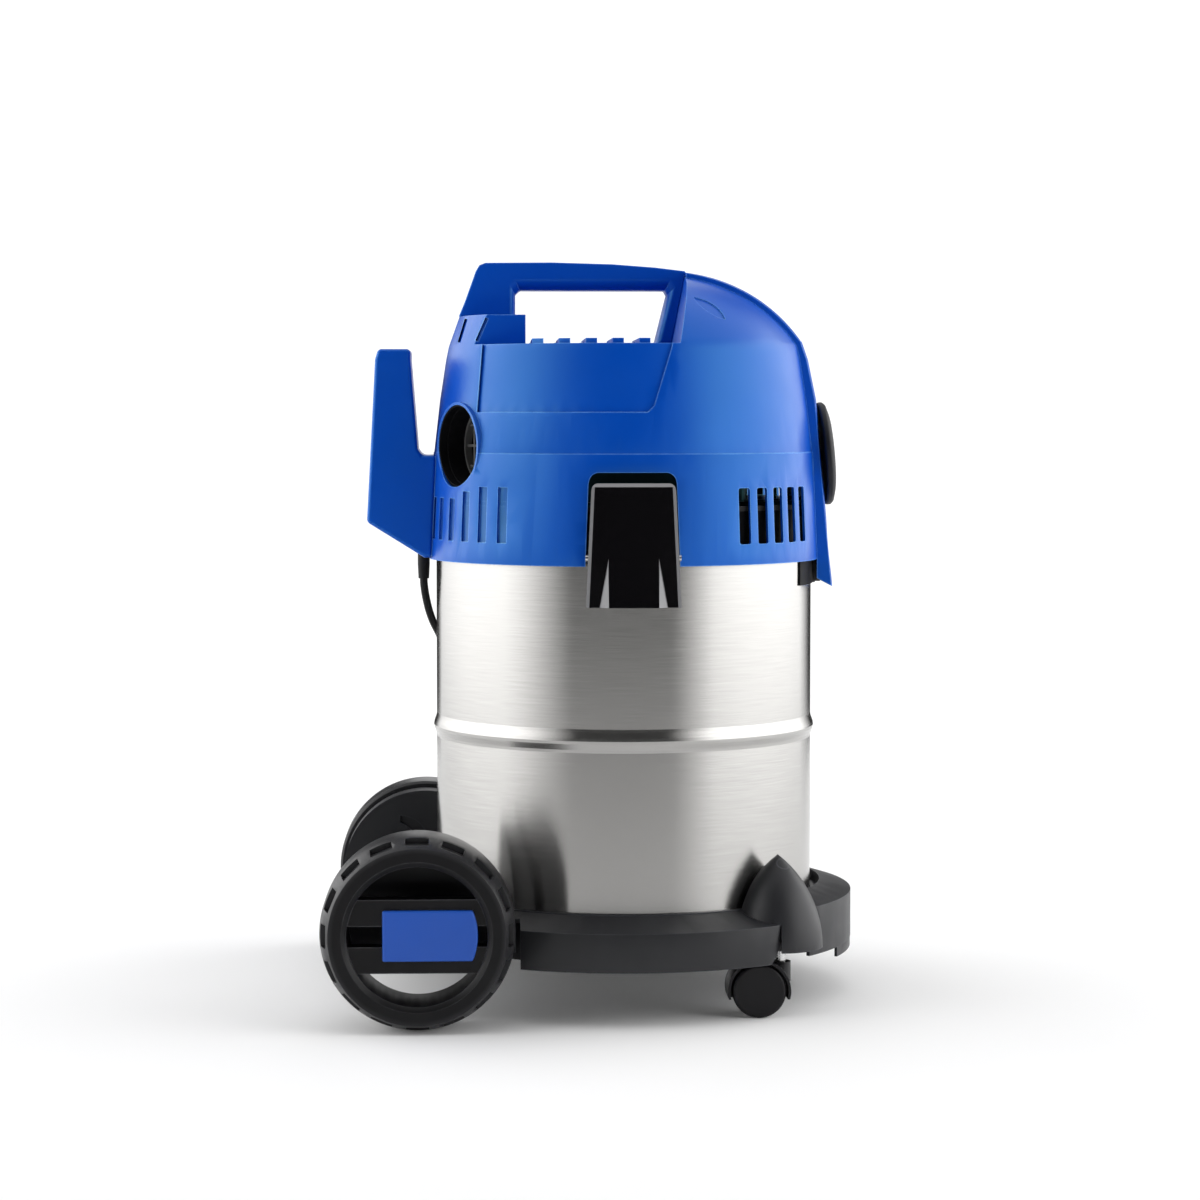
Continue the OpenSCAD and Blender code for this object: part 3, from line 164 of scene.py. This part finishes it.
class Shader:
    """A material's node tree, built one node at a time. Texture coordinates are metres in the part's frame."""

    def __init__(self, name):
        self.material = bpy.data.materials.new(name)
        self.material.use_nodes = True
        self.tree = self.material.node_tree
        self.surface = self.tree.nodes["Principled BSDF"]
        self.place = self.node("ShaderNodeTexCoord").outputs["Object"]
        self.height = None

    def node(self, kind, **settings):
        made = self.tree.nodes.new(kind)
        for key, value in settings.items():
            setattr(made, key, value)
        return made

    def link(self, source, target):
        self.tree.links.new(source, target)

    def set(self, **sockets):
        """Uniform numbers and colours, straight on the surface's own sockets."""
        for key, value in sockets.items():
            self.surface.inputs[key.replace("_", " ")].default_value = value

    def stretched(self, scale):
        """The part's coordinates, scaled along each axis."""
        mapping = self.node("ShaderNodeMapping")
        mapping.inputs["Scale"].default_value = scale
        self.link(self.place, mapping.inputs["Vector"])
        return mapping.outputs["Vector"]

    def noise(self, scale, detail=3.0, roughness=0.5, stretch=None):
        """Noise at scale cells a metre, with values from 0 to 1 and mostly from 0.3 to 0.7."""
        noise = self.node("ShaderNodeTexNoise")
        noise.inputs["Scale"].default_value = scale
        noise.inputs["Detail"].default_value = detail
        noise.inputs["Roughness"].default_value = roughness
        self.link(self.stretched(stretch) if stretch else self.place, noise.inputs["Vector"])
        return noise.outputs["Fac"]

    def spread(self, value, low, high, from_low=0.3, from_high=0.7):
        """value remapped from from_low..from_high, the noise's usual span, to low..high, and held at the ends."""
        ramp = self.node("ShaderNodeMapRange")
        ramp.inputs["From Min"].default_value = from_low
        ramp.inputs["From Max"].default_value = from_high
        ramp.inputs["To Min"].default_value = low
        ramp.inputs["To Max"].default_value = high
        self.link(value, ramp.inputs["Value"])
        return ramp.outputs["Result"]

    def mix(self, factor, a, b):
        """A colour between a and b, which are sockets or RGBA."""
        mix = self.node("ShaderNodeMix", data_type="RGBA")
        for socket, value in ((mix.inputs["Factor"], factor), (mix.inputs[6], a), (mix.inputs[7], b)):
            if isinstance(value, (tuple, float, int)):
                socket.default_value = value
            else:
                self.link(value, socket)
        return mix.outputs[2]

    def bump(self, value, distance, strength=1.0):
        """Adds relief of that depth in metres on top of any already given."""
        bump = self.node("ShaderNodeBump")
        bump.inputs["Distance"].default_value = distance
        bump.inputs["Strength"].default_value = strength
        self.link(value, bump.inputs["Height"])
        if self.height:
            self.link(self.height, bump.inputs["Normal"])
        self.height = bump.outputs["Normal"]

    def edge(self, radius):
        """How near a sharp edge the point is, from 0 on a flat face to 1."""
        bevel = self.node("ShaderNodeBevel", samples=4)
        bevel.inputs["Radius"].default_value = radius
        flat = self.node("ShaderNodeNewGeometry").outputs["Normal"]
        dot = self.node("ShaderNodeVectorMath", operation="DOT_PRODUCT")
        self.link(bevel.outputs["Normal"], dot.inputs[0])
        self.link(flat, dot.inputs[1])
        return self.spread(dot.outputs["Value"], 1.0, 0.0, 0.8, 0.995)

    def math(self, operation, a, b=0.0):
        """One step of arithmetic on sockets or numbers."""
        step = self.node("ShaderNodeMath", operation=operation)
        for socket, value in zip(step.inputs, (a, b)):
            if isinstance(value, (float, int)):
                socket.default_value = value
            else:
                self.link(value, socket)
        return step.outputs[0]

    def position(self):
        """x, y and z of the point, counted from the foot of the tank's axis."""
        split = self.node("ShaderNodeSeparateXYZ")
        self.link(self.place, split.inputs[0])
        x, y, z = split.outputs
        return self.math("SUBTRACT", x, TANK_X), y, z

    def length(self, a, b):
        """The length of a vector with the parts a and b."""
        return self.math("SQRT", self.math("ADD", self.math("MULTIPLY", a, a), self.math("MULTIPLY", b, b)))

    def radius(self):
        """Distance from the tank's axis."""
        x, y, _ = self.position()
        return self.length(x, y)

    def emission(self, strength):
        """Plain white light of that strength, a number or a socket."""
        light = self.node("ShaderNodeEmission")
        if isinstance(strength, float):
            light.inputs["Strength"].default_value = strength
        else:
            self.link(strength, light.inputs["Strength"])
        return light.outputs[0]

    def finish_as(self, factor, at_zero, at_one):
        """The material, made a mix of two shaders."""
        mixed = self.node("ShaderNodeMixShader")
        for socket, source in zip(mixed.inputs, (factor, at_zero, at_one)):
            self.link(source, socket)
        self.link(mixed.outputs[0], self.tree.nodes["Material Output"].inputs["Surface"])
        return self.material

    def colour(self, socket):
        self.link(socket, self.surface.inputs["Base Color"])

    def rough(self, socket):
        self.link(socket, self.surface.inputs["Roughness"])

    def done(self):
        if self.height:
            self.link(self.height, self.surface.inputs["Normal"])
        return self.material


def scaled(colour, k):
    """An RGBA colour with its brightness times k."""
    return (*(min(1.0, c * k) for c in colour[:3]), 1.0)


# Places where a colour changes, from the foot of the tank's axis.
# The skirt's recesses are painted black as shade; these constants place that painted shade.
SKIRT_R = 0.17626  # 1 mm inside the skirt's cone, carried down to the floor
SKIRT_TAPER = 0.04571  # what the cone loses for each metre up
SKIRT_TOP = (0.4325, 0.4332)  # how high the skirt's recesses reach
SHADE_DEPTH = (0.0008, 0.0014)  # counted from SKIRT_R, where the black begins and where it is full
WHEEL_AXLE_X, WHEEL_AXLE_Z = -0.1675, 0.0755
# where the wheels' painted tread sheen begins and where it is full
TREAD_R = (0.0645, 0.068)
# A latch lever's rim and the sides of its lip are painted light grey as a highlight; these constants place it.
LEVER_FOOT_Z = 0.325  # a latch lever's lower end
LEVER_HALF, LEVER_TAPER = 0.037, 0.0469  # half its width at the foot, and what that loses for each metre up
LEVER_RIM = (0.0023, 0.0026)  # the rim's width
LEVER_TOP = (0.4181, 0.4184)  # where the rim along the top begins
LEVER_FACE_Y = 0.1681  # the rim is only on what is further out than this
LIP_HALF = 0.0195  # half the width of the lip's flat middle
LIP_FOOT_HALF, LIP_TAPER = 0.0265, 0.185  # the same for its outer sides, at the foot and for each metre up

# sharp edges are lightened partly as rubbed wear and partly as a painted highlight
EDGE_R = 0.0014  # how far from a sharp edge its rubbed colour reaches
GLOSS_DRIFT = 0.035  # what roughness varies by, up and down
WAVE_DEPTH = 0.0002  # the slow waves of a moulded face
# the black painted as shade in the skirt's recesses
PAINTED_SHADE_BLACK = (0.003, 0.003, 0.004, 1)
# the grey painted on the wheels' sloped tread as its sheen
TREAD_SHEEN_GREY = (0.020, 0.020, 0.022, 1)
# the light grey painted on the latch levers as their highlight
HIGHLIGHT_GREY = (0.23, 0.23, 0.24, 1)


def painted_recess_shade(s, tone):
    """The skirt's recesses and the floor behind its slots are painted black as shade from 2 mm under the skirt's outer
    face.
    """
    _, _, z = s.position()
    cone_r = s.math("SUBTRACT", SKIRT_R, s.math("MULTIPLY", z, SKIRT_TAPER))
    deep = s.spread(s.math("SUBTRACT", cone_r, s.radius()), 0, 1, *SHADE_DEPTH)
    low = s.spread(z, 1, 0, *SKIRT_TOP)
    return s.mix(s.math("MULTIPLY", deep, low), tone, PAINTED_SHADE_BLACK)


def painted_tread_sheen(s, tone):
    """The sloped outer part of the rear wheels is painted a lighter grey, as a painted sheen."""
    x, _, z = s.position()
    ahead, up = s.math("ADD", x, -WHEEL_AXLE_X), s.math("SUBTRACT", z, WHEEL_AXLE_Z)
    return s.mix(s.spread(s.length(ahead, up), 0, 1, *TREAD_R), tone, TREAD_SHEEN_GREY)


def painted_highlight_rim(s, tone):
    """The border round a latch lever's face, and the slanted sides of its lip, painted light grey as a highlight."""
    x, y, z = s.position()
    across, up = s.math("ABSOLUTE", x), s.math("SUBTRACT", z, LEVER_FOOT_Z)
    edge_x = s.math("SUBTRACT", LEVER_HALF, s.math("MULTIPLY", up, LEVER_TAPER))
    side = s.spread(s.math("SUBTRACT", edge_x, across), 1, 0, *LEVER_RIM)
    top = s.spread(z, 0, 1, *LEVER_TOP)
    lip_x = s.math("SUBTRACT", LIP_FOOT_HALF, s.math("MULTIPLY", up, LIP_TAPER))
    lip = s.math("MULTIPLY", s.math("GREATER_THAN", across, LIP_HALF), s.math("LESS_THAN", across, lip_x))
    border = s.math("MAXIMUM", s.math("MAXIMUM", side, top), lip)
    outside = s.math("GREATER_THAN", s.math("ABSOLUTE", y), LEVER_FACE_Y)
    return s.mix(s.math("MULTIPLY", border, outside), tone, HIGHLIGHT_GREY)


def plastic(
    name, colour, rough, grain=1400, depth=0.00002, drift=0.05, wear_and_highlight=None, specular=0.5, tint=None, detail=None
):
    """Moulded plastic: a fine grain, a slow drift of colour and gloss, edges lightened in patches as wear and as a
    painted highlight, and detail's colours.
    """
    s = Shader(name)
    s.set(Specular_IOR_Level=specular)
    slow = s.noise(9, 3)
    tone = s.mix(s.spread(slow, 0, 1), scaled(colour, 1 - drift), scaled(colour, 1 + drift))
    # painted highlight with some wear: sharp edges lightened in patches
    if wear_and_highlight:
        edge = s.edge(EDGE_R)
        patchy = s.spread(s.noise(60, 2), 0.45, 1.0)
        tone = s.mix(s.math("MULTIPLY", edge, patchy), tone, wear_and_highlight)
    if detail:
        tone = detail(s, tone)
    s.colour(tone)
    if tint:
        s.set(Specular_Tint=tint)
    s.rough(s.spread(s.noise(38, 4), rough - GLOSS_DRIFT, rough + GLOSS_DRIFT))
    s.bump(s.noise(grain, 2, 0.6), depth)
    s.bump(s.noise(24, 1), WAVE_DEPTH, 0.18)
    return s.done()


def metal(name, colour, rough, turned=None, anisotropic=0.0, depth=0.00001):
    """Bare metal with fine marks: turned is the stretch of the marks, and None gives a cast or pressed grain."""
    s = Shader(name)
    s.set(Metallic=1.0, Anisotropic=anisotropic)
    marks = s.noise(1, 5, 0.65, turned) if turned else s.noise(500, 3, 0.6)
    s.colour(s.mix(s.spread(marks, 0, 1), scaled(colour, 0.93), scaled(colour, 1.04)))
    s.rough(s.spread(marks, rough - 0.05, rough + 0.05))
    s.bump(marks, depth)
    return s.done()


# ---------------------------------------------------------------- materials

BLUE = (0.0, 0.064, 0.47, 1)
BLUE_GLOSS = (0.30, 0.92, 1.0, 1)
# the light blue painted along the blue's edges, as a highlight with some wear
BLUE_WEAR_AND_HIGHLIGHT = (0.16, 0.40, 0.88, 1)
LATCH_TONE = (0.0035, 0.0032, 0.004, 1)
TEXTURED = {"grain": 1700, "depth": 0.00003, "drift": 0.12}
POLISHED = {"grain": 900, "depth": 0.000004, "drift": 0.1}
STEEL_LOW = (0.380, 0.374, 0.363, 1)
STEEL_HIGH = (0.448, 0.441, 0.429, 1)
STEEL_STREAK = (0.370, 0.362, 0.352, 1)
STEEL_CLOUD = (0.50, 0.492, 0.48, 1)
# the tank is painted near-black where the head covers it, as the head's shade
HEAD_SHADE_BLACK = (0.006, 0.006, 0.007, 1)
COVERED_Z = (0.3605, 0.3625)  # from here up the head covers the tank
SEAM_DARK = (0.34, 0.33, 0.31, 1)
SEAM_HALF = (0.0004, 0.0011)  # half the welded seam's width, in its middle and at its faded edge


def brushed_tank():
    """Steel brushed round the tank, with a welded seam behind, and a band that the head covers painted black as its
    shade.
    """
    s = Shader("brushed_tank_steel")
    s.set(Metallic=1.0, Anisotropic=0.85, Anisotropic_Rotation=0.25)
    tangent = s.node("ShaderNodeTangent", direction_type="RADIAL", axis="Z")
    s.link(tangent.outputs["Tangent"], s.surface.inputs["Tangent"])
    fine = s.noise(1, 2, 0.6, (26, 26, 3600))
    coarse = s.noise(1, 3, 0.6, (6, 6, 900))
    cloudy = s.noise(5, 2)
    tone = s.mix(s.spread(fine, 0, 1), STEEL_LOW, STEEL_HIGH)
    tone = s.mix(s.spread(coarse, 0.0, 0.12), tone, STEEL_STREAK)
    tone = s.mix(s.spread(cloudy, 0.0, 0.1), tone, STEEL_CLOUD)
    x, y, z = s.position()
    seam = s.math("MULTIPLY", s.spread(s.math("ABSOLUTE", y), 1, 0, *SEAM_HALF), s.math("LESS_THAN", x, 0))
    tone = s.mix(seam, tone, SEAM_DARK)
    # painted shade: the steel under the head turns black
    covered = s.spread(z, 0, 1, *COVERED_Z)
    tone = s.mix(covered, tone, HEAD_SHADE_BLACK)
    s.colour(tone)
    s.rough(s.math("ADD", s.spread(fine, 0.205, 0.255), s.math("MULTIPLY", covered, 0.5)))
    s.bump(seam, 0.00012)
    return s.done()


MATERIALS = {
    "tank_steel": brushed_tank(),
    "bright_steel": metal("bright_steel", (0.62, 0.62, 0.62, 1), 0.26, (60, 60, 1800), anisotropic=0.3),
    "blue_plastic": plastic(
        "blue_plastic", BLUE, 0.36, wear_and_highlight=BLUE_WEAR_AND_HIGHLIGHT, specular=0.62, tint=BLUE_GLOSS, detail=painted_recess_shade
    ),
    "black_plastic": plastic(
        "black_plastic", (0.006, 0.0055, 0.007, 1), 0.42, **TEXTURED, wear_and_highlight=(0.04, 0.04, 0.045, 1), specular=0.25
    ),
    "gloss_black": plastic("gloss_black", LATCH_TONE, 0.12, **POLISHED, wear_and_highlight=(0.09, 0.09, 0.1, 1)),
    "grey_plastic": plastic(
        "grey_plastic",
        (0.013, 0.0133, 0.0158, 1),
        0.45,
        grain=1500,
        depth=0.00004,
        drift=0.08,
        wear_and_highlight=(0.06, 0.063, 0.075, 1),
        specular=0.4,
    ),
    "grille_plastic": plastic("grille_plastic", (0.12, 0.12, 0.118, 1), 0.4),
    "cream_plastic": plastic("cream_plastic", (0.66, 0.63, 0.55, 1), 0.35),
    "black_rubber": plastic(
        "black_rubber", (0.006, 0.006, 0.007, 1), 0.6, grain=2600, depth=0.00004, drift=0.15, specular=0.25
    ),
    # The cast alloy and lamination steel inside the head are painted far darker than bare metal, as the shade they sit
    # in; they show only through its slots.
    "cast_alloy": metal("cast_alloy", (0.16, 0.16, 0.17, 1), 0.5, depth=0.00005),
    "copper_windings": metal(
        "copper_windings", (0.52, 0.22, 0.09, 1), 0.35, (900, 900, 40), anisotropic=0.2, depth=0.0001
    ),
    "lamination_steel": metal(
        "lamination_steel", (0.11, 0.11, 0.12, 1), 0.45, (20, 20, 2200), anisotropic=0.2, depth=0.00006
    ),
    "brass": metal("brass", (0.72, 0.52, 0.22, 1), 0.3, (900, 40, 900)),
    "board_green": plastic("board_green", (0.012, 0.10, 0.035, 1), 0.35, grain=300),
    "filter_paper": plastic(
        "filter_paper", (0.76, 0.74, 0.67, 1), 0.85, grain=900, depth=0.0002, drift=0.06, specular=0.2
    ),
}

# Pieces that look unlike the rest of their slot: the wheels' edges are painted light as highlights with some wear, and
# their tread a painted grey sheen, and the latch levers a rim painted light grey as a highlight. The wheel caps are a
# flatter blue, the knob is a paler black, and deep openings are painted a duller, darker black as shade.
# the wheels' edges are painted light grey, mostly as highlights on their bevels, with some wear
WHEEL_BLACK = plastic(
    "wheel_black",
    (0.0025, 0.0023, 0.0032, 1),
    0.36,
    **TEXTURED,
    wear_and_highlight=(0.15, 0.15, 0.16, 1),
    specular=0.22,
    detail=painted_tread_sheen,
)
LATCH_BLACK = plastic("latch_black", LATCH_TONE, 0.12, **POLISHED, detail=painted_highlight_rim)
CAP_BLUE = plastic("cap_blue", (0.003, 0.075, 0.45, 1), 0.40, wear_and_highlight=(0.05, 0.25, 0.8, 1))
# The inlet fitting and port duct are really black; this darker, duller black is painted shade in their deep openings.
SHADE_DEEP_BLACK = plastic("shade_deep_black", (0.0025, 0.0025, 0.0035, 1), 0.6, **TEXTURED, specular=0.1)
KNOB_BLACK = plastic(
    "knob_black", (0.010, 0.0105, 0.0135, 1), 0.5, grain=1700, depth=0.00003, drift=0.1, specular=0.25
)
OWN_MATERIAL = {
    "inlet_fitting": SHADE_DEEP_BLACK,
    "port_duct": SHADE_DEEP_BLACK,
    "knob": KNOB_BLACK,
    "rear_wheel_near": WHEEL_BLACK,
    "rear_wheel_far": WHEEL_BLACK,
    "wheel_cap_near": CAP_BLUE,
    "wheel_cap_far": CAP_BLUE,
    "latch_near": LATCH_BLACK,
    "latch_far": LATCH_BLACK,
}

slot_of = {s["node"]: s["material_slot"] for s in frame["record"]["subparts"]}
for name, obj in nodes.items():
    material = OWN_MATERIAL.get(name, MATERIALS[slot_of[name]])
    obj.data.materials.clear()
    obj.data.materials.append(material)


# ---------------------------------------------------------------- edges

WELD = 0.00001  # points nearer than this are one
FLAT = math.radians(0.8)  # faces that turn less than this are one
EDGE_WIDTHS = {
    "head_base": 0.0009,
    "head_cover": 0.0009,
    "port_duct": 0.0009,
    "latch_near": 0.0009,
    "latch_far": 0.0009,
    "front_spine": 0.0018,
    "trolley_base": 0.0009,
    "caster_pod_near": 0.0009,
    "caster_pod_far": 0.0009,
    "rear_wheel_near": 0.0009,
    "rear_wheel_far": 0.0009,
    "caster_body_near": 0.0012,
    "caster_body_far": 0.0012,
    "caster_wheels_near": 0.0012,
    "caster_wheels_far": 0.0012,
    "knob": 0.0014,
    "wheel_cap_near": 0.0014,
    "wheel_cap_far": 0.0014,
    "cord_plug": 0.0014,
}


def soften(name, width):
    """Rounds a CAD node's sharp edges by modifiers, within its own outline."""
    obj = nodes[name]
    weld = obj.modifiers.new("weld", "WELD")
    weld.merge_threshold = WELD
    flat = obj.modifiers.new("flat", "DECIMATE")
    flat.decimate_type = "DISSOLVE"
    flat.angle_limit = FLAT
    bevel = obj.modifiers.new("edges", "BEVEL")
    bevel.width = width
    bevel.segments = 3
    bevel.limit_method = "ANGLE"
    bevel.angle_limit = math.radians(32)
    bevel.harden_normals = True
    bevel.use_clamp_overlap = True


for name, width in EDGE_WIDTHS.items():
    soften(name, width)

# ---------------------------------------------------------------- handle and hook


def stand_in(name, body="chassis"):
    """An editable copy of a CAD node that takes its place."""
    obj = bpy.data.objects.new(name + "_shaped", nodes[name].data.copy())
    scene.collection.objects.link(obj)
    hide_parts(name)
    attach(obj, body)
    return obj


def weighted_edges(obj, width, segments, weight_of):
    """Rounds each sharp edge of a stand-in by width times weight_of(one end, the other end, the middle)."""
    mesh = bmesh.new()
    mesh.from_mesh(obj.data)
    bmesh.ops.remove_doubles(mesh, verts=mesh.verts, dist=WELD)
    bmesh.ops.dissolve_limit(mesh, angle_limit=FLAT, verts=mesh.verts, edges=mesh.edges)
    weight = mesh.edges.layers.float.new("bevel_weight_edge")
    for edge in mesh.edges:
        if len(edge.link_faces) == 2 and edge.calc_face_angle() > math.radians(45):
            a, b = (v.co for v in edge.verts)
            edge[weight] = weight_of(a, b, (a + b) / 2)
    mesh.to_mesh(obj.data)
    mesh.free()
    bevel = obj.modifiers.new("edges", "BEVEL")
    bevel.width = width
    bevel.segments = segments
    bevel.limit_method = "WEIGHT"
    bevel.harden_normals = True
    bevel.use_clamp_overlap = False


HANDLE_SIDE_Y = 0.0185
HANDLE_TOP_Z = 0.590
HANDLE_END_X = 0.0635
BAR_UNDERSIDE_Z = 0.5705


def handle_weight(a, b, middle):
    """Most under the bar, half as much on the legs beside the opening, and little elsewhere."""
    lengthwise = abs(middle.y) > HANDLE_SIDE_Y and abs(a.y - b.y) < 0.001
    if not lengthwise or middle.z > HANDLE_TOP_Z or abs(middle.x) > HANDLE_END_X:
        return 0.09
    return 0.85 if middle.z > BAR_UNDERSIDE_Z else 0.45


HANDLE_ROUND = 0.012
HOOK_ROUND = 0.003
handle_shaped = stand_in("handle")
weighted_edges(handle_shaped, HANDLE_ROUND, 5, handle_weight)
hook_shaped = stand_in("cable_hook")
weighted_edges(hook_shaped, HOOK_ROUND, 4, lambda a, b, middle: 1.0)

# ---------------------------------------------------------------- cord finish

mains_cord.data.materials.append(MATERIALS["black_rubber"])
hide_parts("cord_tube", "cord_coil", "cord_tail")
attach(mains_cord, "chassis")

# ---------------------------------------------------------------- studio


def revolved(name, profile, steps=128):
    """A surface of revolution round the world's Z axis through profile's (radius, height) points."""
    mesh = bmesh.new()
    rings = []
    for r, z in profile:
        if r == 0:
            rings.append([mesh.verts.new((0, 0, z))])
        else:
            rings.append(
                [
                    mesh.verts.new((r * math.cos(a), r * math.sin(a), z))
                    for a in (2 * math.pi * i / steps for i in range(steps))
                ]
            )
    for low, high in zip(rings, rings[1:]):
        for i in range(steps):
            j = (i + 1) % steps
            if len(low) == 1:
                mesh.faces.new((low[0], high[i], high[j]))
            else:
                mesh.faces.new((low[i], high[i], high[j], low[j]))
    data = bpy.data.meshes.new(name)
    mesh.to_mesh(data)
    mesh.free()
    data.polygons.foreach_set("use_smooth", [True] * len(data.polygons))
    obj = bpy.data.objects.new(name, data)
    scene.collection.objects.link(obj)
    return obj


WALL_R = 4.5
COVE_R = 1.3  # the curve between floor and wall
WALL_TOP = 3.6
FLOOR_R = 1.6
WALL_LIGHT = (1.15, 3.1)  # the wall's light behind the object and at the sides
SOFTBOX_X = (1.5, 4.0)  # where the one turns into the other, to either side
LIT_Z = (0.02, 0.7)  # the cove goes from lit floor to shining wall over these heights
LIT_R = (1.0, 1.6)  # and over these distances from the tank
FLOOR_GLOW = 0.03
ROOM_LIGHT = 1.15
CARD_FOOT = 0.02
CARD_GLOW = 0.02  # what a dark card gives off


def cove():
    """The pale floor and wall, whose side parts are soft boxes and brighter than the part behind."""
    start = WALL_R - COVE_R
    fillet = [
        (start + COVE_R * math.sin(a), COVE_R - COVE_R * math.cos(a))
        for a in (math.pi / 2 * i / 16 for i in range(17))
    ]
    bowl = revolved("white_cove", [(0, 0), (FLOOR_R, 0)] + fillet + [(WALL_R, WALL_TOP)])
    s = Shader("cove_white")
    s.set(Base_Color=(0.88, 0.88, 0.88, 1), Roughness=0.9, Specular_IOR_Level=0.1)
    s.set(Emission_Color=(1, 1, 1, 1), Emission_Strength=FLOOR_GLOW)
    axes = s.node("ShaderNodeSeparateXYZ")
    s.link(s.place, axes.inputs[0])
    strength = s.spread(s.math("ABSOLUTE", axes.outputs["X"]), *WALL_LIGHT, *SOFTBOX_X)
    up = s.spread(axes.outputs["Z"], 0, 1, *LIT_Z)
    far = s.spread(s.radius(), 0, 1, *LIT_R)
    lit = s.math("MAXIMUM", up, far)
    bowl.data.materials.append(s.finish_as(lit, s.surface.outputs[0], s.emission(strength)))


def front_flag():
    """A dark card round the front of the set, which only shows in reflections."""
    radius, top = 2.1, 3.3
    card = revolved("front_flag", [(radius, CARD_FOOT), (radius, top)], 96)
    card.visible_camera = False
    s = Shader("flag_black")
    axes = s.node("ShaderNodeSeparateXYZ")
    s.link(s.place, axes.inputs[0])
    # it fades out to its right between 27 and 52 degrees round the set, and to its left between 32 and 77
    right = s.spread(axes.outputs["X"], 0, 1, 0.95, 1.65)
    left = s.spread(axes.outputs["X"], 0, 1, -1.12, -2.05)
    behind = s.spread(axes.outputs["Y"], 0, 1, -0.6, 0.0)
    open_part = s.math("MAXIMUM", s.math("MAXIMUM", right, left), behind)
    clear = s.node("ShaderNodeBsdfTransparent").outputs[0]
    card.data.materials.append(s.finish_as(open_part, s.emission(CARD_GLOW), clear))


def edge_flags():
    """Two narrow dark cards behind, which draw the line near each side of the tank, and only in reflections."""
    radius, top = 1.8, 2.2
    strips = revolved("edge_flags", [(radius, CARD_FOOT), (radius, top)], 360)
    strips.visible_camera = False
    s = Shader("edge_flag_black")
    x, y, _ = s.position()
    right = s.math("ARCTAN2", x, y)
    left = s.math("MULTIPLY", right, -1.0)
    cards = []
    # each fades in between its first two angles from straight behind, and out between the last two
    for aside, fades in ((right, (12, 20, 30, 50)), (left, (8, 12, 24, 32))):
        a, b, c, d = (math.radians(v) for v in fades)
        cards.append(s.math("MULTIPLY", s.spread(aside, 0, 1, a, b), s.spread(aside, 1, 0, c, d)))
    clear = s.node("ShaderNodeBsdfTransparent").outputs[0]
    strips.data.materials.append(s.finish_as(s.math("MAXIMUM", *cards), clear, s.emission(CARD_GLOW)))


def studio():
    """The set, its reflected cards and the light from all round."""
    cove()
    front_flag()
    edge_flags()
    world = bpy.data.worlds.new("studio_light")
    world.use_nodes = True
    background = world.node_tree.nodes["Background"]
    background.inputs["Color"].default_value = (1, 1, 1, 1)
    background.inputs["Strength"].default_value = ROOM_LIGHT
    scene.world = world
    scene.view_settings.view_transform = "Standard"


studio()
